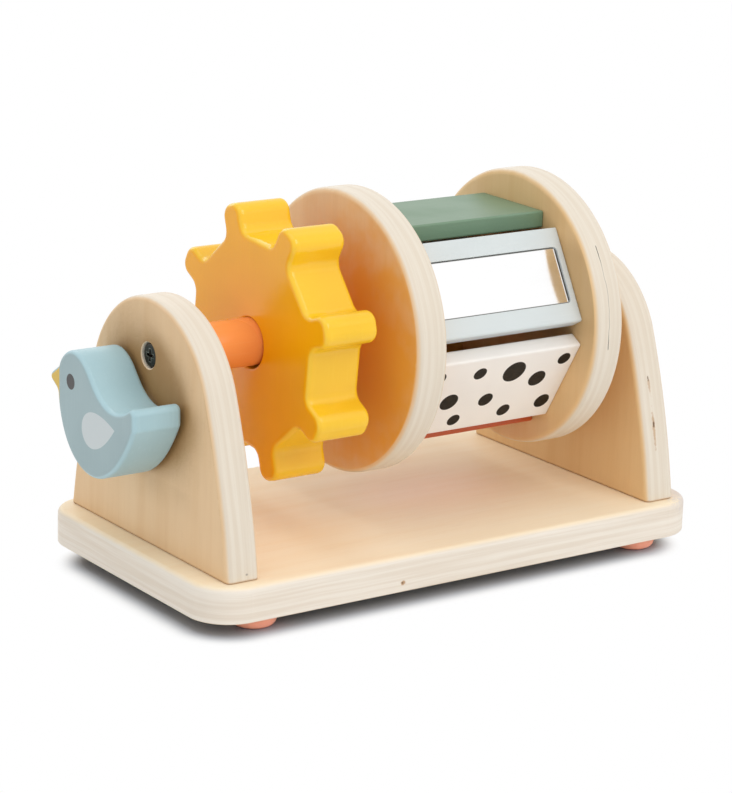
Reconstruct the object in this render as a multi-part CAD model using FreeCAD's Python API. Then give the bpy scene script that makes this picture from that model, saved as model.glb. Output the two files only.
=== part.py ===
import FreeCAD
import Part
import math
import os

# A wooden activity drum for a baby: a plywood base with two arched uprights, a round rod between them,
# and on the rod a loose toothed wheel and a loose drum of two discs and six slats, one with a mirror.
# A wooden bird turns on the outside of the left upright.
# Millimetres. X runs along the rod, away from the bird. -Y is the front. +Z is up, with the floor at zero.

# Places along the rod, from the left upright's inner face to the right one's
left_gap = 32.6
gear_thickness = 25.6
middle_gap = 16.8
disc_thickness = 15.0
panel_length = 77.0
right_gap = 17.0

# Rod and the room that the wheel's and the drum's bores leave around it
rod_diameter = 20.0
rod_socket_depth = 5.0
bore_slack = 0.7

# Drum: discs, slats and the pins that join them
disc_diameter = 120.0
disc_edge_round = 2.6
drum_board_gap = 17.8
panel_count = 6
drum_turn_degrees = 0.5
panel_rim_inset = 13.4
panel_thickness = 7.4
panel_gap = 3.4
panel_edge_round = 1.0
pin_diameter = 3.0
pin_in_panel = 8.0
pin_in_disc = 6.0
pin_inset = 4.0

# Mirror: an acrylic sheet, taped into a pocket of its slat
mirror_side_border = 8.5
mirror_end_border = 3.2
mirror_pocket_depth = 3.2
mirror_thickness = 2.0
mirror_tape_thickness = 0.3
mirror_corner_radius = 2.0
mirror_fit = 0.3

# Toothed wheel
gear_teeth = 8
gear_tip_radius = 57.4
gear_root_apothem = 43.8
gear_tooth_width = 13.2
gear_tip_round = 5.4
gear_root_round = 5.0
gear_edge_round = 2.4
gear_bore_round = 0.8
gear_turn_degrees = 17.0

# Base board
board_width = 136.0
board_thickness = 15.0
board_corner_radius = 18.0
board_top_round = 2.6
board_bottom_round = 0.8

# Uprights: a large arc up each side runs smoothly into a round top
upright_thickness = 15.0
upright_end_inset = 10.5
upright_side_inset = 6.0
upright_above_rod = 23.6
upright_top_radius = 46.6
upright_side_radius = 350.0
upright_edge_round = 2.4
upright_foot_round = 0.8

# Feet: domes with a peg pushed into the board
foot_diameter = 19.0
foot_height = 5.5
foot_edge_round = 3.2
foot_end_inset = 27.0
foot_side_inset = 13.0
foot_peg_diameter = 7.0
foot_peg_length = 9.0

# Screws at the rod's ends, sunk in the uprights
axle_screw_head = 10.0
axle_screw_head_height = 3.2
axle_screw_shank = 4.5
axle_screw_length = 30.0
axle_screw_sink = 0.8
axle_counterbore_fit = 0.4
axle_counterbore_chamfer = 0.4

# Screws and dowels that join the uprights to the board
joint_screw_head = 8.0
joint_screw_head_height = 3.0
joint_screw_shank = 4.0
joint_screw_length = 36.0
joint_screw_sink = 0.5
joint_screw_inset = 26.0
joint_dowel_diameter = 8.0
joint_dowel_in_board = 10.0
joint_dowel_in_upright = 20.0
joint_dowel_inset = 46.0

# Cross recess and point, the same on every screw
recess_length = 5.2
recess_width = 1.4
recess_depth = 1.6
screw_point = 4.0
screw_point_end = 0.6
screw_rim_round = 0.8

# Bird and what it turns on
bird_length = 68.0
bird_height = 49.0
bird_thickness = 22.7
bird_middle_height = 53.0
bird_pivot_forward = 5.2
bird_pivot_up = 1.0
bird_gap = 1.8
bird_edge_round = 2.2
bird_corner_round = 2.6
spindle_diameter = 10.0
spindle_in_bird = 14.0
spindle_end_float = 0.3
spacer_diameter = 18.0
end_washer_diameter = 18.0
end_washer_thickness = 1.5
end_screw_head = 8.0
end_screw_head_height = 2.4
end_screw_shank = 4.0
end_screw_length = 16.0

# Clearances
glue_gap = 0.02
running_gap = 0.1
drill_tip_room = 0.5

X = FreeCAD.Vector(1, 0, 0)
Z = FreeCAD.Vector(0, 0, 1)

# Heights, worked out from the floor up
board_bottom = foot_height
board_top = board_bottom + board_thickness
hang = bore_slack - running_gap
drum_z = board_top + drum_board_gap + disc_diameter / 2
rod_z = drum_z + hang
gear_z = rod_z - hang
bird_middle_z = board_top + bird_middle_height
upright_top_z = rod_z + upright_above_rod - upright_top_radius

# Slats: how far their outer faces are from the drum's axis, and the width that leaves the gap between them
panel_apothem = disc_diameter / 2 - panel_rim_inset
panel_width = 2 * (panel_apothem - panel_thickness) * math.tan(math.pi / panel_count) - panel_gap

# Lengths, and the board's middle, which puts the middle of the whole object at zero
drum_length = panel_length + 2 * disc_thickness
upright_span = left_gap + gear_thickness + middle_gap + drum_length + right_gap
board_length = upright_span + 2 * (upright_thickness + upright_end_inset)
bird_reach = bird_gap + bird_thickness - upright_end_inset
middle_x = max(bird_reach, 0.0) / 2
left_inner_x = middle_x - upright_span / 2
left_outer_x = left_inner_x - upright_thickness
gear_x = left_inner_x + left_gap
drum_x = gear_x + gear_thickness + middle_gap
panel_x = drum_x + disc_thickness
bird_back_x = left_outer_x - bird_gap
upright_foot_half = board_width / 2 - upright_side_inset

edge_samples = 7
same_place = 1e-4


def cylinder(diameter, length, start, direction):
    """A round solid of this diameter that runs from a start point along a direction."""
    return Part.makeCylinder(diameter / 2, length, start, direction)


def edges_in_plane(shape, normal, level):
    """The edges of a shape that lie in the plane at this level along a normal."""
    picked = []
    for edge in shape.Edges:
        points = edge.discretize(edge_samples)
        if all(abs(point.dot(normal) - level) < same_place for point in points):
            picked.append(edge)
    return picked


def edges_along(shape, direction):
    """The straight edges of a shape that run along a direction."""
    picked = []
    for edge in shape.Edges:
        points = edge.discretize(edge_samples)
        if all((point - points[0]).cross(direction).Length < same_place for point in points):
            picked.append(edge)
    return picked


def round_rims(shape, normal, levels, radius):
    """Rounds every edge of a shape that lies in one of the planes at these levels."""
    rims = []
    for level in levels:
        rims += edges_in_plane(shape, normal, level)
    return shape.makeFillet(radius, rims)


def mirrored_pair(value):
    """A distance to each side of the middle."""
    return (-value, value)


# Screws

def screw(head_diameter, head_height, shank_diameter, length, head_place, direction, countersunk):
    """A cross-head wood screw, with the top of its head at a place and its shank along a direction.

    The length runs from the head's top if it is countersunk, and otherwise from under the head.
    """
    if countersunk:
        head = Part.makeCone(head_diameter / 2, shank_diameter / 2, head_height)
        shank_end = length - screw_point
    else:
        head = cylinder(head_diameter, head_height, FreeCAD.Vector(), Z)
        head = round_rims(head, Z, [0.0], screw_rim_round)
        shank_end = head_height + length - screw_point
    shank = cylinder(shank_diameter, shank_end, FreeCAD.Vector(), Z)
    point_base = FreeCAD.Vector(0, 0, shank_end)
    point = Part.makeCone(shank_diameter / 2, screw_point_end / 2, screw_point, point_base)
    body = head.fuse([shank, point])
    for size in ((recess_length, recess_width), (recess_width, recess_length)):
        corner = FreeCAD.Vector(-size[0] / 2, -size[1] / 2, 0)
        body = body.cut(Part.makeBox(size[0], size[1], recess_depth, corner))
    body = body.removeSplitter()
    body.Placement = FreeCAD.Placement(head_place, FreeCAD.Rotation(Z, direction))
    return body


def axle_screw(side):
    """The screw that holds one end of the rod: side is -1 on the left, 1 on the right."""
    head_x = middle_x + side * (upright_span / 2 + upright_thickness - axle_screw_sink)
    head_place = FreeCAD.Vector(head_x, 0, rod_z)
    return screw(axle_screw_head, axle_screw_head_height, axle_screw_shank, axle_screw_length,
                 head_place, X * -side, False)


def joint_places(inset):
    """Where the screws or dowels stand that join the uprights to the board."""
    places = []
    for side in mirrored_pair(upright_span / 2 + upright_thickness / 2):
        for across in mirrored_pair(upright_foot_half - inset):
            places.append(FreeCAD.Vector(middle_x + side, across, 0))
    return places


def upright_screws():
    """Countersunk screws, driven up through the board into the uprights."""
    screws = []
    for place in joint_places(joint_screw_inset):
        head_place = place + Z * (board_bottom + joint_screw_sink)
        screws.append(screw(joint_screw_head, joint_screw_head_height, joint_screw_shank,
                            joint_screw_length, head_place, Z, True))
    return Part.makeCompound(screws)


def upright_dowels():
    """Wooden dowels, glued half in the board and half in the uprights."""
    length = joint_dowel_in_board + joint_dowel_in_upright
    dowels = []
    for place in joint_places(joint_dowel_inset):
        start = place + Z * (board_top - joint_dowel_in_board)
        dowels.append(cylinder(joint_dowel_diameter, length, start, Z))
    return Part.makeCompound(dowels)


def joint_holes():
    """What the joint screws and dowels take out of the board and the uprights."""
    holes = []
    for place in joint_places(joint_screw_inset):
        head_place = place + Z * (board_bottom + joint_screw_sink)
        shank_hole = joint_screw_shank + 2 * glue_gap
        holes.append(cylinder(shank_hole, joint_screw_length + drill_tip_room, head_place, Z))
        head_hole = joint_screw_head + 2 * glue_gap
        holes.append(Part.makeCone(head_hole / 2, shank_hole / 2, joint_screw_head_height, head_place))
        holes.append(cylinder(head_hole, joint_screw_sink, place + Z * board_bottom, Z))
    for place in joint_places(joint_dowel_inset):
        start = place + Z * (board_top - joint_dowel_in_board)
        length = joint_dowel_in_board + joint_dowel_in_upright + drill_tip_room
        holes.append(cylinder(joint_dowel_diameter + 2 * glue_gap, length, start, Z))
    return holes


# Base board and feet

def foot_places():
    """The middle of each foot on the floor, by name."""
    places = {}
    for end, along in zip(("left", "right"), mirrored_pair(board_length / 2 - foot_end_inset)):
        for face, across in zip(("front", "back"), mirrored_pair(board_width / 2 - foot_side_inset)):
            places["foot_" + face + "_" + end] = FreeCAD.Vector(middle_x + along, across, 0)
    return places


def foot(place):
    """A round foot with a soft lower edge and a peg on top."""
    dome = cylinder(foot_diameter, foot_height, place, Z)
    dome = round_rims(dome, Z, [0.0], foot_edge_round)
    peg = cylinder(foot_peg_diameter, foot_peg_length, place + Z * foot_height, Z)
    return dome.fuse(peg).removeSplitter()


def base_board():
    """The board, with holes for the feet, screws and dowels."""
    corner = FreeCAD.Vector(middle_x - board_length / 2, -board_width / 2, board_bottom)
    board = Part.makeBox(board_length, board_width, board_thickness, corner)
    board = board.makeFillet(board_corner_radius, edges_along(board, Z))
    board = round_rims(board, Z, [board_top], board_top_round)
    board = round_rims(board, Z, [board_bottom], board_bottom_round)
    holes = joint_holes()
    for place in foot_places().values():
        peg_hole = foot_peg_diameter + 2 * glue_gap
        holes.append(cylinder(peg_hole, foot_peg_length + drill_tip_room, place + Z * board_bottom, Z))
    return board.cut(holes)


# Uprights

def upright_face(x):
    """The outline of an upright, filled, in the plane at x."""
    top = FreeCAD.Vector(x, 0, upright_top_z)
    corner = FreeCAD.Vector(x, upright_foot_half, board_top)
    # The side's arc passes through the foot's corner and holds the top's circle, touching it from inside,
    # so its middle is where two circles cross: one about the corner, one about the top's middle.
    way = top - corner
    inner_radius = upright_side_radius - upright_top_radius
    along = (upright_side_radius ** 2 - inner_radius ** 2 + way.Length ** 2) / (2 * way.Length)
    across = math.sqrt(upright_side_radius ** 2 - along ** 2)
    way.normalize()
    side_middle = corner + way * along + X.cross(way) * across
    meeting = top + (top - side_middle).normalize() * upright_top_radius
    halfway = (corner - side_middle) + (meeting - side_middle)
    halfway = side_middle + halfway.normalize() * upright_side_radius
    apex = top + Z * upright_top_radius

    def opposite(point):
        return FreeCAD.Vector(point.x, -point.y, point.z)

    edges = [
        Part.LineSegment(opposite(corner), corner).toShape(),
        Part.Arc(corner, halfway, meeting).toShape(),
        Part.Arc(meeting, apex, opposite(meeting)).toShape(),
        Part.Arc(opposite(meeting), opposite(halfway), opposite(corner)).toShape(),
    ]
    return Part.Face(Part.Wire(edges))


def upright(side):
    """One upright: side is -1 on the left, 1 on the right. The left one has the bird's bore too."""
    inner_x = middle_x + side * upright_span / 2
    outer_x = inner_x + side * upright_thickness
    outward = X * side
    body = upright_face(inner_x).extrude(outward * upright_thickness)
    rims = []
    for edge in edges_in_plane(body, X, inner_x) + edges_in_plane(body, X, outer_x):
        if edge.BoundBox.ZMax > board_top + same_place:
            rims.append(edge)
    body = body.makeFillet(upright_edge_round, rims)
    body = round_rims(body, Z, [board_top], upright_foot_round)

    inner_end = FreeCAD.Vector(inner_x, 0, rod_z)
    outer_end = FreeCAD.Vector(outer_x, 0, rod_z)
    head_hole = axle_screw_head + 2 * axle_counterbore_fit
    holes = joint_holes()
    holes.append(cylinder(rod_diameter + 2 * glue_gap, rod_socket_depth, inner_end, outward))
    holes.append(cylinder(axle_screw_shank + 2 * glue_gap, upright_thickness, inner_end, outward))
    sink = axle_screw_sink + axle_screw_head_height
    holes.append(cylinder(head_hole, sink, outer_end, outward * -1))
    holes.append(Part.makeCone(head_hole / 2 + axle_counterbore_chamfer, head_hole / 2,
                               axle_counterbore_chamfer, outer_end, outward * -1))
    if side < 0:
        bore = spindle_diameter + 2 * running_gap
        holes.append(cylinder(bore, upright_thickness, bird_axis(inner_x), outward))
    return body.cut(holes)


# Rod

def axle_rod():
    """The rod, with its ends in the uprights' sockets and a screw hole in each end."""
    length = upright_span + 2 * rod_socket_depth
    start = FreeCAD.Vector(left_inner_x - rod_socket_depth, 0, rod_z)
    rod = cylinder(rod_diameter, length, start, X)
    web = upright_thickness - rod_socket_depth - axle_screw_sink - axle_screw_head_height
    depth = axle_screw_length - web + drill_tip_room
    pilot = axle_screw_shank + 2 * glue_gap
    return rod.cut([cylinder(pilot, depth, start, X), cylinder(pilot, depth, start + X * length, X * -1)])


# Toothed wheel

def gear_wheel():
    """The wheel: straight valleys between teeth with round tips, loose on the rod."""
    half_tooth = gear_tooth_width / 2
    half_pitch = math.pi / gear_teeth
    root_reach = (gear_root_apothem - half_tooth * math.sin(half_pitch)) / math.cos(half_pitch)
    middle = FreeCAD.Vector(gear_x, 0, gear_z)
    corners = []
    for tooth in range(gear_teeth):
        turn = math.radians(gear_turn_degrees) + 2 * half_pitch * tooth
        outward = FreeCAD.Vector(0, -math.cos(turn), math.sin(turn))
        sideways = FreeCAD.Vector(0, math.sin(turn), math.cos(turn))
        for reach, half in ((root_reach, -half_tooth), (gear_tip_radius, -half_tooth),
                            (gear_tip_radius, half_tooth), (root_reach, half_tooth)):
            corners.append(middle + outward * reach + sideways * half)
    outline = Part.makePolygon(corners + corners[:1])
    wheel = Part.Face(outline).extrude(X * gear_thickness)

    halfway_up = (gear_tip_radius + root_reach) / 2

    def off_axis(edge):
        point = edge.Vertexes[0].Point - middle
        return math.hypot(point.y, point.z)

    tips = [edge for edge in edges_along(wheel, X) if off_axis(edge) > halfway_up]
    wheel = wheel.makeFillet(gear_tip_round, tips)
    roots = [edge for edge in edges_along(wheel, X) if off_axis(edge) < halfway_up]
    wheel = wheel.makeFillet(gear_root_round, roots)
    wheel = round_rims(wheel, X, [gear_x, gear_x + gear_thickness], gear_edge_round)
    bore = rod_diameter + 2 * bore_slack
    wheel = wheel.cut(cylinder(bore, gear_thickness, middle, X))
    bore_rims = []
    for level in (gear_x, gear_x + gear_thickness):
        bore_rims += [edge for edge in edges_in_plane(wheel, X, level) if off_axis(edge) < bore]
    return wheel.makeFillet(gear_bore_round, bore_rims)


# Drum

def on_drum(shape, index):
    """A shape made at the drum's top, turned to the place of the slat with this number."""
    turn = drum_turn_degrees + index * 360.0 / panel_count
    return shape.rotated(FreeCAD.Vector(0, 0, drum_z), X, turn)


def top_pins(extra):
    """The four pins of the slat at the drum's top, or with extra room around them, their holes."""
    height = drum_z + panel_apothem - panel_thickness / 2
    pins = []
    for across in mirrored_pair(panel_width / 2 - pin_inset):
        for end_x, inward in ((panel_x, 1), (panel_x + panel_length, -1)):
            start = FreeCAD.Vector(end_x - inward * (pin_in_disc + extra), across, height)
            length = pin_in_disc + pin_in_panel + 2 * extra
            pins.append(cylinder(pin_diameter + 2 * extra, length, start, X * inward))
    return pins


def top_panel():
    """A plain slat at the drum's top, with its pin holes."""
    corner = FreeCAD.Vector(panel_x, -panel_width / 2, drum_z + panel_apothem - panel_thickness)
    slat = Part.makeBox(panel_length, panel_width, panel_thickness, corner)
    slat = slat.makeFillet(panel_edge_round, slat.Edges)
    return slat.cut(top_pins(glue_gap))


def mirror_layer(inset, outer_depth, thickness):
    """A flat piece in the mirror slat's pocket, this deep under the slat's face at the drum's top."""
    width = panel_width - 2 * (mirror_side_border + inset)
    length = panel_length - 2 * (mirror_end_border + inset)
    bottom = drum_z + panel_apothem - outer_depth - thickness
    corner = FreeCAD.Vector(panel_x + mirror_end_border + inset, -width / 2, bottom)
    layer = Part.makeBox(length, width, thickness, corner)
    return layer.makeFillet(mirror_corner_radius - inset, edges_along(layer, Z))


def drum_disc(disc_x):
    """A disc of the drum, with its bore and the pin holes in its inner face."""
    middle = FreeCAD.Vector(disc_x, 0, drum_z)
    disc = cylinder(disc_diameter, disc_thickness, middle, X)
    disc = round_rims(disc, X, [disc_x, disc_x + disc_thickness], disc_edge_round)
    holes = [cylinder(rod_diameter + 2 * bore_slack, disc_thickness, middle, X)]
    for index in range(panel_count):
        for hole in top_pins(glue_gap):
            holes.append(on_drum(hole, index))
    return disc.cut(holes)


def panel_pins():
    """All the pins that join the slats to the discs."""
    pins = []
    for index in range(panel_count):
        for pin in top_pins(0.0):
            pins.append(on_drum(pin, index))
    return Part.makeCompound(pins)


# Bird

def bird_point(forward, up):
    """A point of the bird's outline, as shares of its length and height from its middle."""
    return FreeCAD.Vector(bird_back_x, forward * bird_length, bird_middle_z + up * bird_height)


def bird_axis(x):
    """A point of the axis that the bird turns on, just above its balance point, so that it stays put."""
    return FreeCAD.Vector(x, bird_pivot_forward, bird_middle_z + bird_pivot_up)


def bird_body():
    """A plain bird, sawn from a thick board, with rounded edges and a blind hole for its spindle."""
    beak_tip = bird_point(0.57, 0.24)
    beak_top = bird_point(0.44, 0.36)
    beak_bottom = bird_point(0.45, 0.14)
    tail_top = bird_point(-0.43, 0.31)
    tail_bottom = bird_point(-0.435, 0.08)
    crown_and_back = [beak_top, bird_point(0.38, 0.475), bird_point(0.26, 0.53), bird_point(0.13, 0.46),
                      bird_point(0.0, 0.28), bird_point(-0.17, 0.17), bird_point(-0.31, 0.20), tail_top]
    belly_and_breast = [tail_bottom, bird_point(-0.33, -0.15), bird_point(-0.185, -0.35),
                        bird_point(0.045, -0.467), bird_point(0.285, -0.345), bird_point(0.415, -0.08),
                        beak_bottom]

    def curve(points):
        line = Part.BSplineCurve()
        line.interpolate(points)
        return line.toShape()

    edges = [
        Part.LineSegment(beak_tip, beak_top).toShape(),
        curve(crown_and_back),
        Part.LineSegment(tail_top, tail_bottom).toShape(),
        curve(belly_and_breast),
        Part.LineSegment(beak_bottom, beak_tip).toShape(),
    ]
    body = Part.Face(Part.Wire(edges)).extrude(X * -bird_thickness)
    body = body.makeFillet(bird_corner_round, edges_along(body, X))
    body = round_rims(body, X, [bird_back_x, bird_back_x - bird_thickness], bird_edge_round)
    socket = cylinder(spindle_diameter + 2 * glue_gap, spindle_in_bird, bird_axis(bird_back_x), X * -1)
    return body.cut(socket)


def spindle_end_x():
    """Where the spindle ends, just inside the left upright, so that the end washer runs free."""
    return left_inner_x + spindle_end_float


def bird_spindle():
    """The dowel that the bird turns on, with a screw hole in its inner end."""
    start = bird_axis(bird_back_x - spindle_in_bird)
    end = bird_axis(spindle_end_x())
    spindle = cylinder(spindle_diameter, end.x - start.x, start, X)
    depth = end_screw_length - end_washer_thickness + drill_tip_room
    return spindle.cut(cylinder(end_screw_shank + 2 * glue_gap, depth, end, X * -1))


def washer(outer_diameter, hole_diameter, thickness, start_x):
    """A flat ring on the bird's axis."""
    ring = cylinder(outer_diameter, thickness, bird_axis(start_x), X)
    return ring.cut(cylinder(hole_diameter, thickness, bird_axis(start_x), X))


def bird_end_screw():
    """The screw that holds the end washer on the spindle."""
    head_x = spindle_end_x() + end_washer_thickness + end_screw_head_height
    return screw(end_screw_head, end_screw_head_height, end_screw_shank, end_screw_length,
                 bird_axis(head_x), X * -1, False)


parts = {
    "base_board": base_board(),
    "left_upright": upright(-1),
    "right_upright": upright(1),
    "upright_screws": upright_screws(),
    "upright_dowels": upright_dowels(),
    "axle_rod": axle_rod(),
    "axle_screw_left": axle_screw(-1),
    "axle_screw_right": axle_screw(1),
    "gear_wheel": gear_wheel(),
    "drum_disc_left": drum_disc(drum_x),
    "drum_disc_right": drum_disc(panel_x + panel_length),
    "panel_pins": panel_pins(),
    "bird_body": bird_body(),
    "bird_spindle": bird_spindle(),
    "bird_spacer": washer(spacer_diameter, spindle_diameter + 2 * glue_gap,
                          bird_gap - running_gap, bird_back_x),
    "bird_end_washer": washer(end_washer_diameter, end_screw_shank + 2 * glue_gap,
                              end_washer_thickness, spindle_end_x()),
    "bird_end_screw": bird_end_screw(),
}

# The slats in order round the drum, from the top towards the front
slat_names = ("panel_green", "mirror_frame", "panel_spotted",
              "panel_terracotta", "panel_mustard", "panel_powder")
for number, slat_name in enumerate(slat_names):
    slat_shape = top_panel()
    if slat_name == "mirror_frame":
        slat_shape = slat_shape.cut(mirror_layer(0.0, 0.0, mirror_pocket_depth))
        tape_depth = mirror_pocket_depth - mirror_tape_thickness
        tape = mirror_layer(mirror_fit, tape_depth, mirror_tape_thickness)
        sheet = mirror_layer(mirror_fit, tape_depth - mirror_thickness, mirror_thickness)
        parts["mirror_tape"] = on_drum(tape, number)
        parts["mirror_sheet"] = on_drum(sheet, number)
    parts[slat_name] = on_drum(slat_shape, number)

for foot_name, foot_place in foot_places().items():
    parts[foot_name] = foot(foot_place)

os.makedirs("parts", exist_ok=True)
for name, shape in parts.items():
    shape.exportStep("parts/" + name + ".step")
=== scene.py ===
import bmesh
import bpy
import math
from mathutils import Matrix, Vector


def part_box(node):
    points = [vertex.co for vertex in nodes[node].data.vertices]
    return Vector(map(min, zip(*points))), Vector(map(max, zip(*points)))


# A wooden activity drum for a baby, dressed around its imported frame. Metres, with X along the rod, away
# from the bird, -Y the front and +Z up from the floor.
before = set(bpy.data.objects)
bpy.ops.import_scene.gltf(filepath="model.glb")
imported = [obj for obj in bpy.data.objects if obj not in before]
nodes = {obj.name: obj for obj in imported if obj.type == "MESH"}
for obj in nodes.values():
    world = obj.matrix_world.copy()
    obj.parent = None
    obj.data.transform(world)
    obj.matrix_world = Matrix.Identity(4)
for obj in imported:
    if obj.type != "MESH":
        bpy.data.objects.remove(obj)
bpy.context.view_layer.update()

# Base board
# A board of birch plywood with rounded corners, sanded and given a thin matt lacquer.
# Its warm face veneer lies over pale layers, which show as fine bands all round the sawn edge.


def shade(red, green, blue):
    """A colour as it looks on a screen, each part 0 to 255, in the linear values that a shader takes."""
    linear = []
    for part in (red, green, blue):
        part /= 255
        linear.append(part / 12.92 if part < 0.04045 else ((part + 0.055) / 1.055) ** 2.4)
    return (*linear, 1.0)


class Mixer:
    """Adds nodes to a node tree and links them."""

    def __init__(self, tree):
        self.tree = tree

    def node(self, kind, inputs=None, **settings):
        """Adds a node; each input is a plain value or an output to link."""
        made = self.tree.nodes.new("ShaderNode" + kind)
        for name, value in settings.items():
            setattr(made, name, value)
        for name, value in (inputs or {}).items():
            if isinstance(value, bpy.types.NodeSocket):
                self.tree.links.new(value, made.inputs[name])
            else:
                made.inputs[name].default_value = value
        return made

    def sum(self, operation, *values):
        """A sum worked out on numbers."""
        return self.node("Math", dict(enumerate(values)), operation=operation).outputs[0]

    def product(self, first, *others):
        """Numbers multiplied by each other."""
        for other in others:
            first = self.sum("MULTIPLY", first, other)
        return first

    def vector(self, operation, *values):
        """A sum worked out on vectors. LENGTH and DISTANCE give a number."""
        made = self.node("VectorMath", dict(enumerate(values)), operation=operation)
        return made.outputs["Value" if operation in ("LENGTH", "DISTANCE") else "Vector"]

    def part(self, vector, axis):
        """One of the three parts of a vector."""
        return self.node("SeparateXYZ", {0: vector}).outputs[axis]

    def rise(self, value, low, high, start=0.0, end=1.0):
        """A soft step from start to end as a value goes from low to high."""
        settings = {"Value": value, "From Min": low, "From Max": high, "To Min": start, "To Max": end}
        return self.node("MapRange", settings, interpolation_type="SMOOTHSTEP").outputs[0]

    def mix(self, share, first, second, blend="MIX"):
        """Two colours mixed."""
        inputs = {0: share, 6: first, 7: second}
        return self.node("Mix", inputs, data_type="RGBA", blend_type=blend).outputs[2]


class Finish(Mixer):
    """A surface finish while it is mixed: a material, the place on its piece and the way its surface faces.

    The place is counted from a middle, in metres, along axes that are turned with the piece.
    """

    # Most of what the clouds give lies between these two.
    CLOUD_LOW = 0.3
    CLOUD_HIGH = 0.7

    def __init__(self, name, middle=(0, 0, 0), turn=(0, 0, 0)):
        self.material = bpy.data.materials.new(name)
        self.material.use_nodes = True
        super().__init__(self.material.node_tree)
        self.shader = self.tree.nodes["Principled BSDF"]
        surface = self.node("TexCoord")
        self.place = self.local(surface.outputs["Object"], middle, turn)
        self.facing = self.local(surface.outputs["Normal"], (0, 0, 0), turn)

    def local(self, vector, middle, turn):
        """A vector counted from a middle, along turned axes."""
        settings = {"Vector": vector, "Location": middle, "Rotation": turn}
        return self.node("Mapping", settings, vector_type="TEXTURE").outputs[0]

    def flatness(self):
        """1 where the surface looks along local Z, either way, and 0 where it looks aside."""
        return self.sum("ABSOLUTE", self.part(self.facing, 2))

    def clouds(self, scale, detail=3.0, place=None):
        """Soft clouds from 0 to 1, with this many to the metre along each axis."""
        stretched = self.vector("MULTIPLY", place or self.place, scale)
        return self.node("TexNoise", {"Vector": stretched, "Scale": 1.0, "Detail": detail}).outputs[0]

    def spread(self, clouds, start=0.0, end=1.0):
        """Clouds stretched to reach from start to end."""
        return self.rise(clouds, self.CLOUD_LOW, self.CLOUD_HIGH, start, end)

    def done(self, colour, roughness, height, depth):
        """Wires the colour, the roughness and a relief of this depth into the shader."""
        self.tree.links.new(colour, self.shader.inputs["Base Color"])
        self.tree.links.new(roughness, self.shader.inputs["Roughness"])
        relief = self.node("Bump", {"Height": height, "Distance": depth, "Strength": 1.0})
        self.tree.links.new(relief.outputs[0], self.shader.inputs["Normal"])
        return self.material


def cover(material, *names):
    """Gives every listed piece of the frame this material alone."""
    for name in names:
        mesh = nodes[name].data
        mesh.materials.clear()
        mesh.materials.append(material)


def centre(name):
    """The middle of a piece of the frame."""
    low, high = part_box(name)
    return (low + high) / 2


PORE = shade(196, 150, 102)
PLY_PALE = shade(232, 222, 206)
PLY_WARM = shade(226, 214, 196)
GLUE_LINE = shade(206, 189, 166)
PLY_THICKNESS = 0.00136
PLY_WAVER = 0.0016
GLUE_WIDTH = 0.13 * PLY_THICKNESS
LINE_SHARE = 0.12


def plywood(name, node_name, veneer, veneer_dark, turn=(0, 0, 0), marks=None, pale=PLY_PALE, warm=PLY_WARM):
    """Birch plywood: local Z is through the board, local X along the face's grain.

    pale and warm are the layers of its edge. marks puts knots, splits and stains, and painted light and
    shade, into the colour, once the wood itself is mixed.
    """
    wood = Finish(name, centre(node_name), turn)

    streaks = wood.clouds((9, 160, 160), 4.0)
    drift = wood.clouds((7, 15, 15), 2.0)
    pores = wood.clouds((80, 2600, 2600), 2.0)
    face = wood.mix(wood.rise(streaks, 0.32, 0.75, 0.0, 0.5), veneer, veneer_dark)
    face = wood.mix(wood.rise(drift, 0.35, 0.7, 0.0, 0.4), face, veneer_dark)
    face = wood.mix(wood.rise(pores, 0.52, 0.8, 0.0, 0.10), face, PORE)

    waver = wood.product(wood.clouds((22, 22, 60), 2.0), PLY_WAVER)
    wavy = wood.vector("ADD", wood.place, wood.node("CombineXYZ", {"Z": waver}).outputs[0])
    bands = wood.clouds((12, 12, 560), 3.0, wavy)
    fibres = wood.clouds((50, 50, 2400), 3.0, wavy)
    patchy = wood.rise(wood.clouds((26, 26, 330), 2.0), 0.35, 0.65)
    edge = wood.mix(wood.rise(bands, 0.36, 0.62), warm, pale)
    edge = wood.mix(wood.rise(fibres, 0.5, 0.8, 0.0, LINE_SHARE), edge, GLUE_LINE)
    off_glue = wood.sum("PINGPONG", wood.part(wavy, 2), PLY_THICKNESS / 2)
    glue = wood.rise(off_glue, 0.0, GLUE_WIDTH, LINE_SHARE, 0.0)
    edge = wood.mix(wood.product(glue, patchy), edge, GLUE_LINE)

    sanded = wood.sum("ADD", wood.flatness(), wood.spread(streaks, -0.02, 0.02))
    colour = wood.mix(wood.rise(sanded, 0.35, 0.97), edge, face)
    if marks:
        colour = marks(wood, colour)
    roughness = wood.rise(streaks, 0.2, 0.8, 0.44, 0.58)
    wood.shader.inputs["Specular IOR Level"].default_value = 0.3
    height = wood.product(wood.sum("ADD", pores, fibres), 0.5)
    return wood.done(colour, roughness, height, depth=0.00004)


def tinted_patches(wood, colour, stains):
    """Soft, slightly ragged patches of tint, for stains and for painted light: the middle, the reach along
    each axis, the tint and strength of each.
    """
    ragged = wood.spread(wood.clouds((700, 700, 700), 2.0), -0.2, 0.2)
    for middle, reach, tint, strength in stains:
        scaled = wood.vector("DIVIDE", wood.vector("SUBTRACT", wood.place, middle), reach)
        away = wood.sum("ADD", wood.vector("LENGTH", scaled), ragged)
        colour = wood.mix(wood.rise(away, 0.4, 1.1, strength, 0.0), colour, tint)
    return colour


KNOT_BROWN = shade(190, 146, 100)
KNOT_DARK = shade(62, 48, 38)
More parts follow.
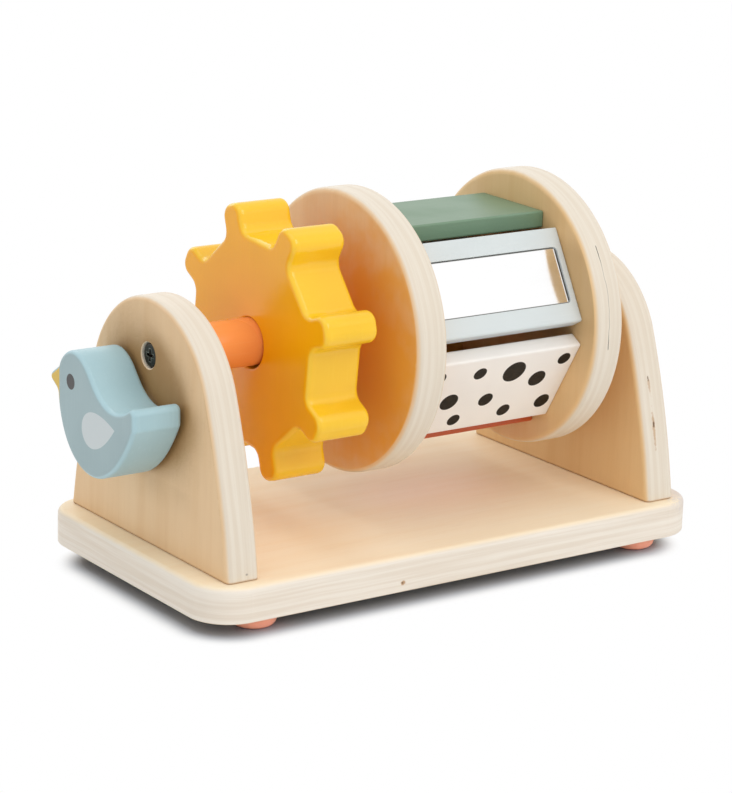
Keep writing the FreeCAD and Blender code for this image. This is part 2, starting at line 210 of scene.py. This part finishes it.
# Painted highlight: the pale tint laid over the right end of the board's top, where light falls on it.
PALE_HIGHLIGHT = shade(224, 214, 206)
BOARD_KNOT_AND_HIGHLIGHT = (
    # The first row is the painted highlight on the right end; the other two are a pin knot.
    ((0.1250, -0.040, 0.0075), (0.016, 0.080, 0.008), PALE_HIGHLIGHT, 0.95),
    ((-0.0342, -0.068, -0.0035), (0.0016, 0.002, 0.0011), KNOT_BROWN, 0.9),
    ((-0.0346, -0.068, -0.0034), (0.0006, 0.002, 0.0005), KNOT_DARK, 0.6),
)


def board_knot_and_highlight(wood, colour):
    """The right end of the top paled as a painted highlight, and a brown pin knot in the front edge."""
    return tinted_patches(wood, colour, BOARD_KNOT_AND_HIGHLIGHT)


BOARD_VENEER = shade(254, 238, 209)
BOARD_VENEER_DARK = shade(250, 229, 195)
BOARD_PALE = shade(244, 235, 222)
BOARD_WARM = shade(235, 223, 207)
cover(plywood("board_plywood", "base_board", BOARD_VENEER, BOARD_VENEER_DARK, marks=board_knot_and_highlight,
              pale=BOARD_PALE, warm=BOARD_WARM), "base_board")

# Feet
# Four soft silicone feet, moulded in coral, each with a peg that is pushed into the board.


def silicone(name, colour, bloom_colour):
    """Soft matt silicone with a faint bloom."""
    rubber = Finish(name)
    bloom = rubber.clouds((160, 160, 160), 3.0)
    speck = rubber.clouds((1800, 1800, 1800), 2.0)
    tint = rubber.mix(rubber.spread(bloom, 0.0, 0.25), colour, bloom_colour)
    rubber.shader.inputs["Subsurface Weight"].default_value = 0.15
    rubber.shader.inputs["Subsurface Radius"].default_value = (0.004, 0.0015, 0.001)
    rubber.shader.inputs["Subsurface Scale"].default_value = 1.0
    return rubber.done(tint, rubber.spread(bloom, 0.5, 0.65), speck, depth=0.00003)


CORAL = shade(255, 172, 144)
CORAL_BLOOM = shade(255, 192, 168)
cover(silicone("coral_silicone", CORAL, CORAL_BLOOM),
      "foot_front_left", "foot_front_right", "foot_back_left", "foot_back_right")

# Uprights
# Two arched boards of the same plywood, with their grain upright, screwed and dowelled to the base.
UPRIGHT_TURN = (0, math.pi / 2, 0)
# The joint line at an upright's foot, widened into painted contact shade over this height.
FOOT_LINE = 0.0012
upright_low, upright_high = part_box("left_upright")
upright_foot = (upright_high.z - upright_low.z) / 2


def foot_joint_and_shade(wood, colour):
    """The thin dark joint where an upright stands on the base, spread into painted contact shade just above
    it.
    """
    down = wood.part(wood.place, 0)
    joint = wood.rise(down, upright_foot - FOOT_LINE, upright_foot, 0.0, 0.8)
    return wood.mix(joint, colour, KNOT_BROWN)


def outer_face(finish):
    """1 on the face that looks out past the bird's end of the toy, and 0 on the others."""
    return finish.rise(finish.part(finish.facing, 2), -0.97, -0.90, 1.0, 0.0)


BIRD_SHADE = shade(190, 174, 148)
# The way to the light that the bird keeps off, how near it has to be for that, and the range below the
# upright's middle in which the shade fades out.
SHADE_FROM = (-0.6, 0.7, -0.4)
SHADE_REACH = 0.03
SHADE_FADE = (0.020, 0.035)


def bird_shade(wood, colour):
    """The soft shade beside the bird on the outer face, wherever it is turned. None lies right under it."""
    towards = wood.node("CombineXYZ", dict(enumerate(SHADE_FROM))).outputs[0]
    open_sky = wood.node("AmbientOcclusion", {"Normal": towards, "Distance": SHADE_REACH}).outputs["AO"]
    beside = wood.rise(open_sky, 0.50, 0.80, 1.0, 0.0)
    not_under = wood.rise(open_sky, 0.02, 0.12)
    above_foot = wood.rise(wood.part(wood.place, 0), *SHADE_FADE, 1.0, 0.0)
    share = wood.product(beside, not_under, outer_face(wood), above_foot)
    return wood.mix(share, colour, BIRD_SHADE, "MULTIPLY")


LEFT_STAINS = (
    ((0.0480, -0.0616, 0.0014), (0.0006, 0.003, 0.0008), KNOT_DARK, 0.5),
)


def left_upright_marks(wood, colour):
    """The foot's joint with its painted contact shade, the bird's painted shade, and a faint pin knot low in
    the front edge.
    """
    return tinted_patches(wood, bird_shade(wood, foot_joint_and_shade(wood, colour)), LEFT_STAINS)


SPLIT_BROWN = shade(92, 62, 36)
RIGHT_STAINS = (
    ((0.0020, -0.0504, -0.0009), (0.006, 0.004, 0.0008), KNOT_BROWN, 0.55),
    ((-0.0013, -0.0502, -0.0010), (0.0014, 0.004, 0.0005), SPLIT_BROWN, 0.8),
    ((0.0205, -0.0557, -0.0009), (0.011, 0.005, 0.0009), KNOT_BROWN, 0.65),
    ((0.0180, -0.0556, -0.0009), (0.0016, 0.004, 0.0006), SPLIT_BROWN, 0.85),
)


def right_upright_marks(wood, colour):
    """The foot's joint with its painted contact shade, and two splits in the front edge, each with a tan
    streak along the grain.
    """
    return tinted_patches(wood, foot_joint_and_shade(wood, colour), RIGHT_STAINS)


LEFT_VENEER = shade(240, 208, 166)
LEFT_VENEER_DARK = shade(230, 192, 146)
RIGHT_VENEER = shade(240, 205, 154)
RIGHT_VENEER_DARK = shade(231, 190, 134)
cover(plywood("left_upright_plywood", "left_upright", LEFT_VENEER, LEFT_VENEER_DARK,
              UPRIGHT_TURN, left_upright_marks), "left_upright")
cover(plywood("right_upright_plywood", "right_upright", RIGHT_VENEER, RIGHT_VENEER_DARK,
              UPRIGHT_TURN, right_upright_marks), "right_upright")

# Screws and dowels of the joints
# Zinc-plated screws come up through the base, beside plain beech dowels. All but the heads is hidden.
ZINC = shade(176, 176, 172)
STEEL_SMEAR = shade(60, 58, 55)
BEECH = shade(222, 184, 140)
BEECH_FLECK = shade(196, 150, 106)


def metal(name, colour, middle=(0, 0, 0), wear_and_light=None):
    """Plated or blackened steel with fine turning marks. The last argument puts marks of use, with painted
    shade and painted glints, into the colour.
    """
    steel = Finish(name, middle)
    marks = steel.clouds((900, 900, 900), 3.0)
    smear = steel.clouds((220, 220, 220), 2.0)
    tint = steel.mix(steel.spread(smear, 0.0, 0.35), colour, STEEL_SMEAR)
    if wear_and_light:
        tint = wear_and_light(steel, tint)
    steel.shader.inputs["Metallic"].default_value = 1.0
    return steel.done(tint, steel.spread(marks, 0.28, 0.42), marks, depth=0.00002)


def plain_beech(name):
    """Bare beech with short flecks."""
    bare = Finish(name)
    flecks = bare.clouds((200, 1500, 1500), 2.0)
    tint = bare.mix(bare.rise(flecks, 0.45, 0.7), BEECH, BEECH_FLECK)
    return bare.done(tint, bare.spread(flecks, 0.5, 0.65), flecks, depth=0.00004)


zinc = metal("zinc_steel", ZINC)
beech = plain_beech("plain_beech")
cover(zinc, "upright_screws")
cover(beech, "upright_dowels")

# Rod and its screws
# A beech rod, sprayed orange, sits in a socket of each upright. A black cross-head screw holds each end.
THIN_COAT = 0.85
THICK_COAT = 0.94


def thin_coat(colour):
    """A paint's colour where its coat is thin, over pale wood."""
    return (*(part ** THIN_COAT for part in colour[:3]), 1.0)


def thick_coat(colour):
    """A paint's colour where its coat is thick."""
    return (*(part * THICK_COAT for part in colour[:3]), 1.0)


def painted_wood(name, colour, middle=(0, 0, 0), turn=(0, 0, 0), grain=(40, 900, 900),
                 shaded_face_colour=None, print_on=None, smooth=0.34):
    """Sprayed satin paint on close-grained wood, rubbed a little thinner along the rounded edges.

    Local Z is through the piece. The colour for its two flat faces is a darker, deeper copy of the paint, as
    painted shade. print_on puts a print over the paint. smooth is the least roughness.
    """
    paint = Finish(name, middle, turn)
    drift = paint.clouds((30, 30, 30), 2.0)
    figure = paint.clouds(grain, 3.0)
    peel = paint.clouds((1300, 1300, 1300), 2.0)
    through = paint.part(paint.facing, 2)
    flat = paint.product(through, through)
    coats = []
    for coat in (colour, shaded_face_colour or colour):
        uneven = paint.mix(paint.spread(drift), coat, thick_coat(coat))
        coats.append(paint.mix(paint.rise(figure, 0.5, 0.8, 0.0, 0.3), uneven, thin_coat(coat)))
    tint = paint.mix(paint.rise(flat, 0.5, 0.95), *coats)
    if print_on:
        tint = print_on(paint, tint)
    turned = paint.product(flat, paint.sum("SUBTRACT", 1.0, flat))
    rubbed = paint.product(paint.rise(turned, 0.12, 0.25), paint.rise(drift, 0.35, 0.65, 0.2, 0.5))
    tint = paint.mix(rubbed, tint, thin_coat(colour))
    roughness = paint.spread(drift, smooth, smooth + 0.12)
    height = paint.sum("ADD", paint.product(figure, 0.8), paint.product(peel, 0.4))
    return paint.done(tint, roughness, height, depth=0.00003)


ROD_ORANGE = shade(255, 160, 86)
ROD_GRAIN = (900, 900, 40)
cover(painted_wood("rod_orange", ROD_ORANGE, turn=UPRIGHT_TURN, grain=ROD_GRAIN, smooth=0.22), "axle_rod")
SCREW_BLACK = shade(74, 69, 63)
# Painted light on the screw heads: shade in the cross recess, and bare steel at its worn edges standing as
# glints.
BARE_STEEL_GLINT = shade(196, 188, 176)
RECESS_SHADE = shade(26, 24, 22)
CROSS_LENGTH = 0.0052
CROSS_WIDTH = 0.0014
CROSS_WEAR = 0.0004
CROSS_EDGE = 0.0001


def cross_wear_and_light(steel, tint):
    """Painted shade darkens the heads' cross recess, and bare worn steel along its edges is lighter, partly
    as painted glints.
    """
    across = steel.sum("ABSOLUTE", steel.part(steel.place, 1))
    upward = steel.sum("ABSOLUTE", steel.part(steel.place, 2))
    arms = []
    for along, aside in ((across, upward), (upward, across)):
        past_end = steel.sum("SUBTRACT", along, CROSS_LENGTH / 2)
        past_side = steel.sum("SUBTRACT", aside, CROSS_WIDTH / 2)
        arms.append(steel.sum("MAXIMUM", past_end, past_side))
    outside = steel.sum("MINIMUM", *arms)
    scuffed = steel.rise(steel.clouds((700, 700, 700), 2.0), 0.35, 0.6, 0.2, 1.0)
    bare = steel.product(steel.rise(outside, 0.0, CROSS_WEAR, 1.0, 0.0), scuffed)
    tint = steel.mix(bare, tint, BARE_STEEL_GLINT)
    return steel.mix(steel.rise(outside, -CROSS_EDGE, 0.0, 1.0, 0.0), tint, RECESS_SHADE)


cover(metal("black_screw", SCREW_BLACK, centre("axle_rod"), cross_wear_and_light),
      "axle_screw_left", "axle_screw_right")

# Toothed wheel
# A thick wheel with eight rounded teeth, sawn from wood, rounded over and sprayed yellow.
# It is loose on the rod.
# The flat faces get a deeper orange than the rim: painted shade, with painted bounce light from the wood
# around them.
WHEEL_RIM = shade(255, 203, 40)
WHEEL_FACE_IN_SHADE = shade(255, 182, 0)
cover(painted_wood("wheel_yellow", WHEEL_RIM, turn=UPRIGHT_TURN, shaded_face_colour=WHEEL_FACE_IN_SHADE, smooth=0.12),
      "gear_wheel")

# Drum discs
# Two plywood discs with sanded rims, loose on the rod. The slats' pins are glued into their inner faces.
# Painted bounce light on the left disc's inner face: its orange, its middle on the disc, the range over which
# it fades, and how ragged its edge is.
BOUNCE_LIGHT_ORANGE = shade(235, 168, 62)
BOUNCE_MIDDLE = (0.008, -0.025, 0.0)
BOUNCE_RANGE = (0.020, 0.078)
BOUNCE_UNEVEN = 0.008


def disc_faces(wood):
    """1 on a disc's two flat faces, and 0 on its rim."""
    return wood.rise(wood.flatness(), 0.9, 0.99)


def painted_bounce_light(wood, colour):
    """Painted bounce light: orange from the yellow wheel, laid into the veneer towards the front of the disc.
    """
    flat = wood.vector("MULTIPLY", wood.place, (1, 1, 0))
    uneven = wood.spread(wood.clouds((70, 70, 70), 3.0), -BOUNCE_UNEVEN, BOUNCE_UNEVEN)
    away = wood.sum("ADD", wood.vector("DISTANCE", flat, BOUNCE_MIDDLE), uneven)
    warm = wood.rise(away, *BOUNCE_RANGE, 1.0, 0.0)
    return wood.mix(wood.product(warm, disc_faces(wood)), colour, BOUNCE_LIGHT_ORANGE)


def disc_forward(wood):
    """How far forward of the disc's middle."""
    return wood.product(wood.part(wood.place, 1), -1.0)


def disc_up(wood):
    """How far above the disc's middle."""
    return wood.product(wood.part(wood.place, 0), -1.0)


# Painted shade on the right disc's inner face: its tint, multiplied in, and the ranges forward and up in
# which it comes and goes.
DISC_SHADE_TINT = shade(219, 217, 212)
DISC_SHADE_FORWARD = (0.005, 0.035)
DISC_SHADE_FROM_BELOW = (-0.025, 0.012)
DISC_SHADE_TO_ABOVE = (0.030, 0.044)


def painted_disc_shade(wood, colour):
    """Painted shade: the veneer darkened towards the front, around the middle height, where the slats shade
    the disc.
    """
    front = wood.rise(disc_forward(wood), *DISC_SHADE_FORWARD)
    above = wood.rise(disc_up(wood), *DISC_SHADE_FROM_BELOW)
    below = wood.rise(disc_up(wood), *DISC_SHADE_TO_ABOVE, 1.0, 0.15)
    share = wood.product(front, above, below, disc_faces(wood))
    return wood.mix(share, colour, DISC_SHADE_TINT, "MULTIPLY")


CRACK_LAYER = -0.0007
CRACK_WANDER = 0.0004
CRACK_SIDES = (0.00008, 0.00026)
CRACK_START = (math.radians(53), math.radians(54))
CRACK_END = (math.radians(96), math.radians(97))
CRACK_MIDDLE = math.radians(76)
CRACK_OPENS = (math.radians(12), math.radians(20))


def rim_crack(wood, colour):
    """A hair crack along a layer of the rim, from near the top to the front and open at both its ends."""
    angle = wood.sum("ARCTAN2", disc_forward(wood), disc_up(wood))
    wander = wood.spread(wood.clouds((60, 60, 60), 3.0), -CRACK_WANDER, CRACK_WANDER)
    line = wood.sum("ADD", wander, CRACK_LAYER)
    off_line = wood.sum("ABSOLUTE", wood.sum("SUBTRACT", wood.part(wood.place, 2), line))
    on_line = wood.rise(off_line, *CRACK_SIDES, 1.0, 0.0)
    begun = wood.rise(angle, *CRACK_START)
    not_ended = wood.rise(angle, *CRACK_END, 1.0, 0.0)
    off_middle = wood.sum("ABSOLUTE", wood.sum("SUBTRACT", angle, CRACK_MIDDLE))
    open_ends = wood.rise(off_middle, *CRACK_OPENS, 0.35, 0.95)
    rim = wood.rise(wood.flatness(), 0.1, 0.3, 1.0, 0.0)
    return wood.mix(wood.product(on_line, begun, not_ended, open_ends, rim), colour, KNOT_DARK)


def right_disc_shade_and_crack(wood, colour):
    """The painted shade and the crack."""
    return rim_crack(wood, painted_disc_shade(wood, colour))


cover(plywood("left_disc_plywood", "drum_disc_left", LEFT_VENEER, LEFT_VENEER_DARK,
              UPRIGHT_TURN, painted_bounce_light), "drum_disc_left")
cover(plywood("right_disc_plywood", "drum_disc_right", RIGHT_VENEER, RIGHT_VENEER_DARK,
              UPRIGHT_TURN, right_disc_shade_and_crack), "drum_disc_right")

# Slats
# Six flat wooden slats with rounded edges, each sprayed its own colour, pinned between the discs.
SLAT_COLOURS = {
    "panel_green": shade(111, 140, 113),
    "mirror_frame": shade(213, 220, 220),
    "panel_spotted": shade(247, 242, 236),
    "panel_terracotta": shade(196, 84, 34),
    "panel_mustard": shade(222, 172, 84),
    "panel_powder": shade(160, 188, 194),
}
SPOT_INK = shade(16, 12, 9)
SPOT_INK_PALE = shade(32, 27, 21)
SPOT_BLUR = 0.00008
MILLIMETRE = 0.001
# The spots of the white slat: millimetres from its left end, across it towards the mirror, and diameter.
SPOTS = ((70.7, 13.8, 6.3), (45.7, 10.3, 11.3), (27.0, 12.3, 6.4), (60.5, 3.9, 8.6), (5.8, 12.9, 6.5),
         (36.9, -4.5, 7.2), (16.9, -2.4, 8.9), (69.8, -11.1, 7.6), (49.9, -13.0, 6.5), (24.1, -14.2, 6.2),
         (5.5, -8.7, 7.0), (3.0, 2.0, 6.0))


def spots(paint, tint):
    """Round dark spots, printed on the slat's outer face."""
    flat = paint.vector("MULTIPLY", paint.place, (1, 1, 0))
    inside = -1.0
    for along, across, diameter in SPOTS:
        away = paint.vector("DISTANCE", flat, (along * MILLIMETRE, across * MILLIMETRE, 0))
        inside = paint.sum("MAXIMUM", inside, paint.sum("SUBTRACT", diameter * MILLIMETRE / 2, away))
    outside = paint.rise(paint.part(paint.facing, 2), 0.90, 0.96)
    ink = paint.mix(paint.rise(paint.clouds((700, 700, 700), 2.0), 0.4, 0.7), SPOT_INK, SPOT_INK_PALE)
    printed = paint.product(paint.rise(inside, -SPOT_BLUR, SPOT_BLUR), outside)
    dull = paint.rise(printed, 0.0, 1.0, 0.5, 0.2)
    paint.tree.links.new(dull, paint.shader.inputs["Specular IOR Level"])
    return paint.mix(printed, tint, ink)


DRUM_TURN = math.radians(0.5)
SLAT_STEP = math.radians(60)
slat_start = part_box("panel_green")[0].x
drum_middle = centre("drum_disc_left")
drum_axis = Vector((slat_start, drum_middle.y, drum_middle.z))
for number, (slat, colour) in enumerate(SLAT_COLOURS.items()):
    slat_turn = (DRUM_TURN + number * SLAT_STEP, 0, 0)
    slat_print = spots if slat == "panel_spotted" else None
    cover(painted_wood(slat + "_paint", colour, drum_axis, slat_turn, print_on=slat_print), slat)
cover(beech, "panel_pins")

# Mirror
# A sheet of acrylic mirror in the pocket of the pale blue slat, stuck down with a sheet of tape.
SILVER = shade(255, 255, 255)
SILVER_WIPED = shade(253, 253, 253)
# Painted highlight at each end of the sheet, and painted shade along its rim.
END_HIGHLIGHT = shade(250, 250, 250)
END_SHADE = shade(58, 52, 48)
SIDE_SHADE = shade(132, 132, 129)
SAWN_EDGE = shade(70, 72, 74)
# How far in from the sheet's ends the painted shade and the painted highlight reach, and the painted shade
# from its sides.
END_SHADE_WIDTH = 0.0007
END_HIGHLIGHT_WIDTH = 0.0012
SIDE_SHADE_WIDTH = 0.0004


def mirror_finish(name, middle, angle):
    """Silvered acrylic with faint wiping marks and dull grey sawn edges.

    It is painted dark along the rim, as the pocket's shade, with a painted highlight inside that at each end,
    where the cut end's bevel catches light.
    """
    glass = Finish(name, middle, (angle, 0, 0))
    wipe = glass.clouds((40, 160, 160), 3.0)
    tint = glass.mix(glass.spread(wipe), SILVER, SILVER_WIPED)
    back = Matrix.Rotation(-angle, 3, "X")
    flat = [back @ (corner.co - middle) for corner in nodes["mirror_sheet"].data.vertices]
    start = min(corner.x for corner in flat)
    end = max(corner.x for corner in flat)
    half_width = max(corner.y for corner in flat)
    off_middle = glass.sum("SUBTRACT", glass.part(glass.place, 0), (start + end) / 2)
    to_end = glass.sum("SUBTRACT", (end - start) / 2, glass.sum("ABSOLUTE", off_middle))
    to_side = glass.sum("SUBTRACT", half_width, glass.sum("ABSOLUTE", glass.part(glass.place, 1)))
    end_highlight = glass.rise(to_end, 0.9 * END_HIGHLIGHT_WIDTH, END_HIGHLIGHT_WIDTH, 1.0, 0.0)
    tint = glass.mix(end_highlight, tint, END_HIGHLIGHT)
    dark = glass.rise(to_end, 0.8 * END_SHADE_WIDTH, END_SHADE_WIDTH, 1.0, 0.0)
    tint = glass.mix(dark, tint, END_SHADE)
    grey = glass.rise(to_side, 0.5 * SIDE_SHADE_WIDTH, SIDE_SHADE_WIDTH, 1.0, 0.0)
    tint = glass.mix(grey, tint, SIDE_SHADE)
    tint = glass.mix(glass.rise(glass.flatness(), 0.6, 0.9), SAWN_EDGE, tint)
    silver = glass.sum("SUBTRACT", 1.0, glass.sum("MAXIMUM", end_highlight, grey))
    glass.tree.links.new(silver, glass.shader.inputs["Metallic"])
    return glass.done(tint, glass.spread(wipe, 0.10, 0.14), wipe, depth=0.0000005)


TAPE_WHITE = shade(226, 226, 222)
TAPE_BLOOM = shade(236, 236, 233)
cover(mirror_finish("acrylic_mirror", drum_axis, DRUM_TURN + SLAT_STEP), "mirror_sheet")
cover(silicone("tape_foam", TAPE_WHITE, TAPE_BLOOM), "mirror_tape")

# Bird
# A plain bird, sawn from a thick board and sprayed grey-blue, turns on a dowel in the left upright.
# The flat faces get a darker grey than the sides: painted shade.
BIRD_SIDE = shade(171, 204, 212)
BIRD_FACE_IN_SHADE = shade(163, 186, 190)
WING_GREY = shade(205, 214, 216)
EYE_DARK = shade(66, 64, 63)
BEAK_YELLOW = shade(226, 190, 84)
# The print, counted from the bird's middle: along the rod, towards the beak and up.
EYE = (0.0, 0.0158, 0.0116)
EYE_RADIUS = 0.0033
WING_START = (0.0, 0.0065, -0.0065)
WING_LENGTH = 0.0265
WING_WIDTH = 0.0150
WING_TILT = math.radians(-14)
BEAK_LINE = 0.0250
PRINT_BLUR = 0.00012
# The drop's formula swells to 1 / 2.6 at most, so this makes it half the wing's width there.
WING_SWELL = 1.3 * WING_WIDTH
bird_middle = centre("bird_body")


def bird_print(paint, tint):
    """A dot eye, a drop-shaped wing and the beak's yellow, printed on the outer face."""
    place = paint.local(paint.node("TexCoord").outputs["Object"], bird_middle, (0, 0, 0))
    flat = paint.vector("MULTIPLY", place, (0, 1, 1))
    outside = outer_face(paint)

    drop = paint.local(flat, WING_START, (WING_TILT, 0, 0))
    back = paint.sum("DIVIDE", paint.part(drop, 1), -WING_LENGTH)
    swell = paint.product(paint.sum("SQRT", back), paint.sum("SUBTRACT", 1.0, back))
    half_width = paint.product(swell, WING_SWELL)
    inside = paint.sum("SUBTRACT", half_width, paint.sum("ABSOLUTE", paint.part(drop, 2)))
    wing = paint.rise(inside, 0.0, PRINT_BLUR)
    tint = paint.mix(paint.product(wing, outside), tint, WING_GREY)

    away = paint.vector("DISTANCE", flat, EYE)
    eye = paint.rise(away, EYE_RADIUS - PRINT_BLUR, EYE_RADIUS, 1.0, 0.0)
    tint = paint.mix(paint.product(eye, outside), tint, EYE_DARK)
    beak = paint.rise(paint.part(flat, 1), BEAK_LINE - PRINT_BLUR, BEAK_LINE)
    return paint.mix(paint.product(beak, outside), tint, BEAK_YELLOW)


NYLON = shade(228, 226, 220)
NYLON_BLOOM = shade(238, 236, 231)
cover(painted_wood("bird_blue", BIRD_SIDE, turn=UPRIGHT_TURN, shaded_face_colour=BIRD_FACE_IN_SHADE, print_on=bird_print),
      "bird_body")
cover(beech, "bird_spindle")
cover(silicone("spacer_nylon", NYLON, NYLON_BLOOM), "bird_spacer")
cover(zinc, "bird_end_washer", "bird_end_screw")

# Floor and light
# A plain white floor that keeps the soft shadow, with a painted shadow deepening it around the board,
# soft lamps in front, above and behind, and a white surround.
scene = bpy.context.scene
scene.view_settings.view_transform = "Standard"
FLOOR_SIZE = 3.0
floor_mesh = bpy.data.meshes.new("floor")
floor_shape = bmesh.new()
bmesh.ops.create_grid(floor_shape, x_segments=1, y_segments=1, size=FLOOR_SIZE / 2)
floor_shape.to_mesh(floor_mesh)
floor_shape.free()
floor = bpy.data.objects.new("floor", floor_mesh)
scene.collection.objects.link(floor)


def looked_at(mixer):
    """1 where the camera sees a thing, straight, mirrored or through glass, and 0 where it gives light."""
    ray = mixer.node("LightPath").outputs
    shiny = mixer.sum("MAXIMUM", ray["Is Glossy Ray"], ray["Is Transmission Ray"])
    return mixer.sum("MAXIMUM", ray["Is Camera Ray"], shiny)


FLOOR_WHITE = (0.9, 0.9, 0.9, 1.0)
# Painted shadow: where the camera sees it, the floor is darkened to these greys under and around the board.
SHADOW_GREY = (0.42, 0.44, 0.49, 1.0)
SHADOW_DEEP = (0.23, 0.26, 0.33, 1.0)
# The ranges past the painted shadow's outline, outwards, in which the floor turns plain white, the painted
# shadow's grey goes and its deep part goes.
PLAIN_RANGE = (-0.004, 0.010)
GREY_RANGE = (0.000, 0.009)
DEEP_RANGE = (-0.012, 0.001)
BOARD_CORNER = 0.018
# The painted shadow falls short of the board's right end and of its back, where the light comes from.
SHADOW_SHORT = Vector((0.012, 0.016, 0))
FLAT = Vector((1, 1, 0))
shadow_low, shadow_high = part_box("base_board")
shadow_high = shadow_high - SHADOW_SHORT
shadow_middle = (shadow_low + shadow_high) / 2 * FLAT
shadow_inner = ((shadow_high - shadow_low) / 2 - Vector((BOARD_CORNER, BOARD_CORNER, 0))) * FLAT
paper = Finish("white_floor")
off_middle = paper.vector("ABSOLUTE", paper.vector("SUBTRACT", paper.place, shadow_middle))
past_inner = paper.vector("MAXIMUM", paper.vector("SUBTRACT", off_middle, shadow_inner), (0, 0, 0))
off_shadow = paper.sum("SUBTRACT", paper.vector("LENGTH", past_inner), BOARD_CORNER)
seen = looked_at(paper)
plain = paper.product(seen, paper.rise(off_shadow, *PLAIN_RANGE))
grey = paper.product(seen, paper.rise(off_shadow, *GREY_RANGE, 1.0, 0.0))
shadow = paper.mix(paper.rise(off_shadow, *DEEP_RANGE, 1.0, 0.0), SHADOW_GREY, SHADOW_DEEP)
paper.tree.links.new(paper.mix(grey, FLOOR_WHITE, shadow), paper.shader.inputs["Base Color"])
paper.shader.inputs["Roughness"].default_value = 0.9
paper.shader.inputs["Specular IOR Level"].default_value = 0.0
glow = paper.node("Emission", {"Color": (1, 1, 1, 1), "Strength": 1.0})
blend = paper.node("MixShader", {0: plain, 1: paper.shader.outputs[0], 2: glow.outputs[0]})
paper.tree.links.new(blend.outputs[0], paper.tree.nodes["Material Output"].inputs["Surface"])
floor_mesh.materials.append(paper.material)

SURROUND_LIGHT = 0.70
SURROUND_SEEN = 1.0
world = bpy.data.worlds.new("studio")
scene.world = world
world.use_nodes = True
surround = Mixer(world.node_tree)
levels = {"Value": looked_at(surround), "To Min": SURROUND_LIGHT, "To Max": SURROUND_SEEN}
background = surround.tree.nodes["Background"]
background.inputs["Color"].default_value = (1, 1, 1, 1)
surround.tree.links.new(surround.node("MapRange", levels).outputs[0], background.inputs["Strength"])

LAMP_TARGET = Vector((0, 0, 0.07))


def lamp(name, place, size, power):
    """A square soft lamp at a place, aimed at the object."""
    light = bpy.data.lights.new(name, "AREA")
    light.size = size
    light.energy = power
    holder = bpy.data.objects.new(name, light)
    holder.location = place
    holder.rotation_euler = (LAMP_TARGET - Vector(place)).to_track_quat("-Z", "Y").to_euler()
    holder.visible_camera = False
    scene.collection.objects.link(holder)


lamp("front_lamp", (0.25, -1.1, 1.1), size=0.9, power=6.2)
lamp("top_lamp", (-0.3, -0.1, 1.3), size=1.0, power=2.4)
lamp("back_lamp", (0.1, 1.0, 0.8), size=0.9, power=3.0)

# Camera
# The photograph's own viewpoint: from the front left, a little above, with a long lens.
camera_data = bpy.data.cameras.new("photo_camera")
camera_data.sensor_width = 36.0
camera_data.lens = 129.07
camera = bpy.data.objects.new("photo_camera", camera_data)
camera.location = (-0.67425, -0.9435, 0.3887)
camera.rotation_euler = (math.radians(74.51), math.radians(-1.756), math.radians(-35.06))
scene.collection.objects.link(camera)
scene.camera = camera
